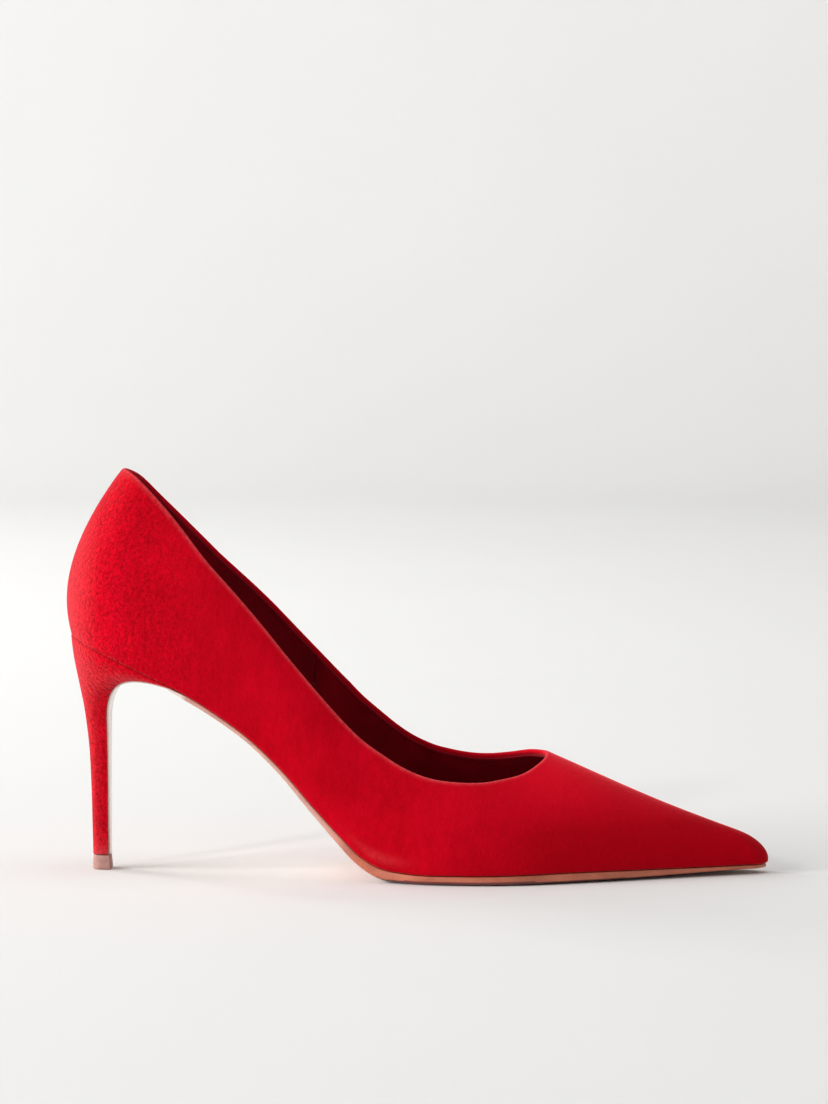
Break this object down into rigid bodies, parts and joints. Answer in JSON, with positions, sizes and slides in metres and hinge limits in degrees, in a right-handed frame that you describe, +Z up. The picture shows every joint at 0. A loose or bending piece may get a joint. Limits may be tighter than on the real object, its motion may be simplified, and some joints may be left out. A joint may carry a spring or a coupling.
{
  "type": "high heel pump",
  "caption": "Closed-toe stiletto pump: suede whole-cut upper with a low-cut open topline, pointed toe, leather outsole and a tall slim covered heel.",
  "frame": {"origin": "middle of the part's box, on the ground", "axes": "+X points to the toe, +Z up, -Y is the outer side of the foot (a right shoe)"},
  "size_m": [0.2492, 0.0746, 0.1434],
  "materials": {
    "suede": "napped suede",
    "lining": "matt kid leather",
    "sole_leather": "burnished leather",
    "board": "pressed cellulose board",
    "interlining": "woven cotton and resin felt",
    "foam": "soft foam and cork felt",
    "heel_plastic": "moulded ABS",
    "top_piece": "matt polyurethane",
    "steel": "plain steel"
  },
  "bodies": {
    "root": {"upper_outer": "suede", "heel_cover": "suede", "vamp_lining": "lining", "quarter_lining_lateral": "lining", "quarter_lining_medial": "lining", "heel_grip": "lining", "sock_lining": "lining", "heel_counter": "board", "insole_board": "board", "toe_puff": "interlining", "interlining_lateral": "interlining", "interlining_medial": "interlining", "topline_tape_lateral": "interlining", "topline_tape_medial": "interlining", "shank": "steel", "shank_rivet_front": "steel", "shank_rivet_rear": "steel", "heel_tube": "steel", "top_piece_pin": "steel", "heel_screw": "steel", "heel_nail_1": "steel", "heel_nail_2": "steel", "heel_nail_3": "steel", "heel_nail_4": "steel", "forepart_filler": "foam", "sock_heel_pad": "foam", "sock_ball_pad": "foam", "outsole": "sole_leather", "heel_core": "heel_plastic", "top_piece": "top_piece"}
  },
  "joints": []
}
